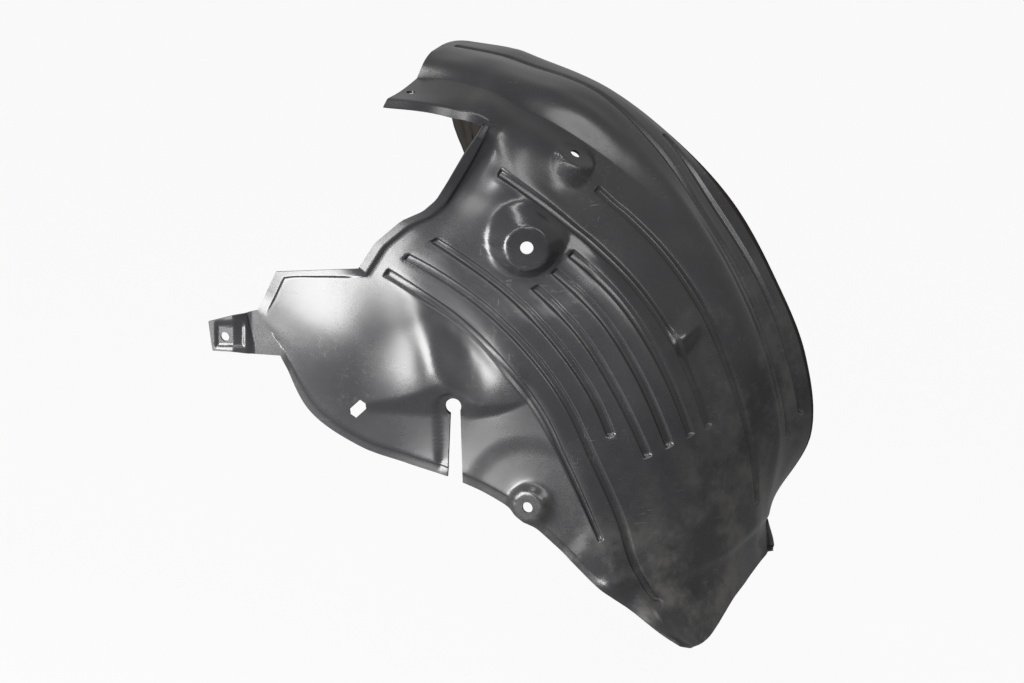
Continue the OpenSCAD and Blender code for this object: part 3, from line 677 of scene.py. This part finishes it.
mesh.vertices.foreach_set("co", np.clip(co, np.array(cad_low), np.array(cad_high)).ravel())
mesh.update()
bm = bmesh.new()
bm.from_mesh(mesh)
for e in bm.edges:
    e.smooth = not (len(e.link_faces) == 2 and e.calc_face_angle(0) > SHARP)
bm.to_mesh(mesh)
print("sheet:", len(mesh.vertices), "vertices,", sum(len(p.vertices) - 2 for p in mesh.polygons), "triangles")
bm.free()
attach(liner, "root")
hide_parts("liner_shell")

# %% [markdown]
# ## The finish
# Formed polyethylene is near black and half glossy. The side that met the mould carries fine scratches,
# dull scuffs, a little pale dust, and tiny pips from the mould's air holes. Shader maths is written as
# plain expressions: a small class wraps a socket and adds Math nodes for the operators.

# %% A class for shader expressions
class Wire:
    def __init__(self, tree, socket):
        self.tree, self.socket = tree, socket

    def math(self, operation, *values, clamp=False):
        node = self.tree.nodes.new("ShaderNodeMath")
        node.operation, node.use_clamp = operation, clamp
        for slot, value in zip(node.inputs, values):
            if isinstance(value, Wire):
                self.tree.links.new(value.socket, slot)
            else:
                slot.default_value = value
        return Wire(self.tree, node.outputs[0])

    def __add__(self, o): return self.math("ADD", self, o)
    def __radd__(self, o): return self.math("ADD", o, self)
    def __sub__(self, o): return self.math("SUBTRACT", self, o)
    def __mul__(self, o): return self.math("MULTIPLY", self, o)
    def clamp(self): return self.math("ADD", self, 0.0, clamp=True)

    def step(self, low, high):
        return self.make("ShaderNodeMapRange", {"interpolation_type": "SMOOTHSTEP"},
                         {"Value": self, "From Min": low, "From Max": high}, "Result")

    def make(self, kind, settings, values, output=0):
        node = self.tree.nodes.new(kind)
        for key, value in settings.items():
            setattr(node, key, value)
        for key, value in values.items():
            if isinstance(value, Wire):
                self.tree.links.new(value.socket, node.inputs[key])
            else:
                node.inputs[key].default_value = value
        return Wire(self.tree, node.outputs[output])


def new_material(name):
    material = bpy.data.materials.new(name)
    material.use_nodes = True
    tree = material.node_tree
    shader = tree.nodes["Principled BSDF"]
    coords = tree.nodes.new("ShaderNodeTexCoord")
    return material, tree, shader, Wire(tree, coords.outputs["Object"])


# %% Formed black plastic
plastic, tree, shader, spot = new_material("formed_black_plastic")


def noise(scale, detail=4.0, rough=0.55, vector=None):
    return spot.make("ShaderNodeTexNoise", {}, {"Vector": vector or spot, "Scale": scale, "Detail": detail,
                                                "Roughness": rough}, "Fac")


def stretched(turn, scale):
    return spot.make("ShaderNodeMapping", {}, {"Vector": spot, "Rotation": turn, "Scale": scale}, "Vector")


cloud = noise(7, 5).step(0.35, 0.7)
grain = noise(900, 2)
orange_peel = noise(55, 3)
scratch_a = noise(60, 2, 0.5, stretched((0.3, 0.9, 0.5), (1, 1, 34))).step(0.68, 0.74)
scratch_b = noise(45, 2, 0.5, stretched((1.1, -0.6, 0.2), (30, 1, 1))).step(0.69, 0.75)
scuff_zone = noise(10, 6, 0.65).step(0.52, 0.72)
scuff = scuff_zone * noise(150, 6, 0.7).step(0.5, 0.68)
place_xyz = tree.nodes.new("ShaderNodeSeparateXYZ")
tree.links.new(spot.socket, place_xyz.inputs[0])
low_down = Wire(tree, place_xyz.outputs["Z"]).step(-0.20, -0.36)
rear = Wire(tree, place_xyz.outputs["X"]).step(0.10, 0.21)
dust = ((low_down * 0.65 + rear * 0.45) * noise(26, 7, 0.65).step(0.42, 0.72) + scuff * 0.35).clamp()
pips = spot.make("ShaderNodeTexVoronoi", {"feature": "F1"}, {"Vector": spot, "Scale": 34, "Randomness": 0.6},
                 "Distance").step(0.034, 0.018)
scratches = (scratch_a + scratch_b).clamp() * noise(14, 3).step(0.45, 0.65)
print("finish: cloud, grain, scratches, scuffs, dust and pips")

# %% Colour, roughness and relief of the plastic
COLOUR_A, COLOUR_B, COLOUR_OUT = 6, 7, 2  # the colour sockets of a Mix node


def blend(factor, colour_a, colour_b):
    return spot.make("ShaderNodeMix", {"data_type": "RGBA"},
                     {"Factor": factor, COLOUR_A: colour_a, COLOUR_B: colour_b}, COLOUR_OUT)


dark = blend(cloud, (0.012, 0.012, 0.0135, 1), (0.018, 0.018, 0.0195, 1))
worn = blend(scratches * 0.55, dark, (0.13, 0.13, 0.135, 1))
dusty = blend(dust * 0.65, worn, (0.10, 0.095, 0.085, 1))
tree.links.new(dusty.socket, shader.inputs["Base Color"])
rough = (0.25 + cloud * 0.07 + dust * 0.25 + scratches * 0.12 + (grain - 0.5) * 0.08).clamp()
tree.links.new(rough.socket, shader.inputs["Roughness"])
shader.inputs["Specular IOR Level"].default_value = 0.55
relief = orange_peel * 0.5 + grain * 0.05 + pips * 1.5 - scratches * 0.2
bump = tree.nodes.new("ShaderNodeBump")
bump.inputs["Strength"].default_value, bump.inputs["Distance"].default_value = 0.35, 0.0006
tree.links.new(relief.socket, bump.inputs["Height"])
tree.links.new(bump.outputs["Normal"], shader.inputs["Normal"])
print("colour, roughness and relief linked")

# %% Painted shade on the outer wall
#  Only the wing-side wall lies this far out in Y. Its face gets painted shade and a painted reflection: a
#  dark, dull, brown-black colour stands in for the shadow on it and for the brown it reflects.
WALL_FROM, WALL_FULL = 0.2125, 0.2155
painted_shade_wall = tree.nodes.new("ShaderNodeBsdfPrincipled")
painted_shade_wall.inputs["Base Color"].default_value = (0.012, 0.0095, 0.008, 1)
painted_shade_wall.inputs["Roughness"].default_value, painted_shade_wall.inputs["Specular IOR Level"].default_value = 0.7, 0.12
# the mask for the painted shade and painted brown reflection, chosen by the wall's place in Y
painted_shade_zone = Wire(tree, place_xyz.outputs["Y"]).step(WALL_FROM, WALL_FULL)
mixed = tree.nodes.new("ShaderNodeMixShader")
tree.links.new(painted_shade_zone.socket, mixed.inputs["Fac"])
tree.links.new(shader.outputs[0], mixed.inputs[1])
tree.links.new(painted_shade_wall.outputs[0], mixed.inputs[2])
tree.links.new(mixed.outputs[0], tree.nodes["Material Output"].inputs["Surface"])
liner.data.materials.append(plastic)
print("material nodes", len(tree.nodes))

# %% [markdown]
# ## Floor, light and camera
# A studio shot of a black part is a picture of its lights: black plastic shows little colour of its own,
# so large soft panels draw the bright bands along the bulge and the flank. The floor is pale and plain.

# %% The floor and the world
FLOOR_GAP, FLOOR_GLOW = 0.12, 0.93  # below the part; share of white that the camera sees in the floor
ROOM_LIGHT, ROOM_SEEN = 0.6, 1.0  # the world's strength on the part, and as the camera sees it
low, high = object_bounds()
middle = (np.array(low) + np.array(high)) / 2
bm = bmesh.new()
bmesh.ops.create_grid(bm, x_segments=1, y_segments=1, size=30)
bmesh.ops.translate(bm, verts=bm.verts, vec=(0, 0, cad_low[2] - FLOOR_GAP))
floor_mesh = bpy.data.meshes.new("floor")
bm.to_mesh(floor_mesh)
bm.free()
floor = bpy.data.objects.new("floor", floor_mesh)
bpy.context.scene.collection.objects.link(floor)
floor_material, floor_tree, floor_shader, _ = new_material("pale_floor")
floor_shader.inputs["Base Color"].default_value = (0.3, 0.3, 0.3, 1)
floor_shader.inputs["Roughness"].default_value = 0.9
glow = floor_tree.nodes.new("ShaderNodeEmission")
floor_seen = floor_tree.nodes.new("ShaderNodeLightPath")
share = floor_tree.nodes.new("ShaderNodeMath")
share.operation = "MULTIPLY"
share.inputs[1].default_value = FLOOR_GLOW
floor_mix = floor_tree.nodes.new("ShaderNodeMixShader")
floor_tree.links.new(floor_seen.outputs["Is Camera Ray"], share.inputs[0])
floor_tree.links.new(share.outputs[0], floor_mix.inputs["Fac"])
floor_tree.links.new(floor_shader.outputs[0], floor_mix.inputs[1])
floor_tree.links.new(glow.outputs[0], floor_mix.inputs[2])
floor_tree.links.new(floor_mix.outputs[0], floor_tree.nodes["Material Output"].inputs["Surface"])
floor.data.materials.append(floor_material)
world = bpy.data.worlds.new("studio")
world.use_nodes = True
bpy.context.scene.world = world
backdrop = world.node_tree.nodes["Background"]
backdrop.inputs["Color"].default_value = (1, 1, 1, 1)
seen = world.node_tree.nodes.new("ShaderNodeLightPath")
level = world.node_tree.nodes.new("ShaderNodeMapRange")
level.inputs["To Min"].default_value, level.inputs["To Max"].default_value = ROOM_LIGHT, ROOM_SEEN
world.node_tree.links.new(seen.outputs["Is Camera Ray"], level.inputs["Value"])
world.node_tree.links.new(level.outputs["Result"], backdrop.inputs["Strength"])
print("floor at", round(cad_low[2] - FLOOR_GAP, 3))


# %% Soft panels
def panel(name, spot_at, size, power):
    """A rectangle light at a place from the part's middle, in metres, facing the middle."""
    data = bpy.data.lights.new(name, "AREA")
    data.shape, data.size, data.size_y, data.energy = "RECTANGLE", size[0], size[1], power
    lamp = bpy.data.objects.new(name, data)
    bpy.context.scene.collection.objects.link(lamp)
    lamp.location = Vector(middle) + Vector(spot_at)
    lamp.rotation_euler = (-Vector(spot_at)).to_track_quat("-Z", "Y").to_euler()
    return lamp


panel("key_panel", (-0.95, -1.65, 0.14), (1.0, 1.12), 82)
panel("front_panel", (0.1, -1.6, 1.2), (1.3, 0.3), 10)
panel("bulge_panel", (1.3, -0.97, 0.97), (0.6, 0.6), 8)
panel("top_panel", (-0.3, -0.4, 1.9), (1.3, 0.2), 12)
panel("dome_panel", (2.2, -3.7, 2.5), (1.3, 0.9), 26)
print("five panels")

# %% The camera at the photograph's angle
LENS, SENSOR = 300, 36
PHOTO_WIDE, PART_WIDE = 1024, 607  # pixels
camera_data = bpy.data.cameras.new("camera")
camera_data.lens, camera_data.sensor_width = LENS, SENSOR
camera = bpy.data.objects.new("camera", camera_data)
bpy.context.scene.collection.objects.link(camera)
aim = Vector(place((0.5, 0.5, 0.35)) - origin)
view_width = SPAN * PHOTO_WIDE / PART_WIDE
camera.location = aim + Vector(sight_back) * (view_width * LENS / SENSOR)
camera.rotation_euler = (-Vector(sight_back)).to_track_quat("-Z", "Y").to_euler()
camera_data.clip_end = 60
bpy.context.scene.camera = camera
bpy.context.scene.view_settings.view_transform = "Standard"
print("camera", [round(v, 3) for v in camera.location])
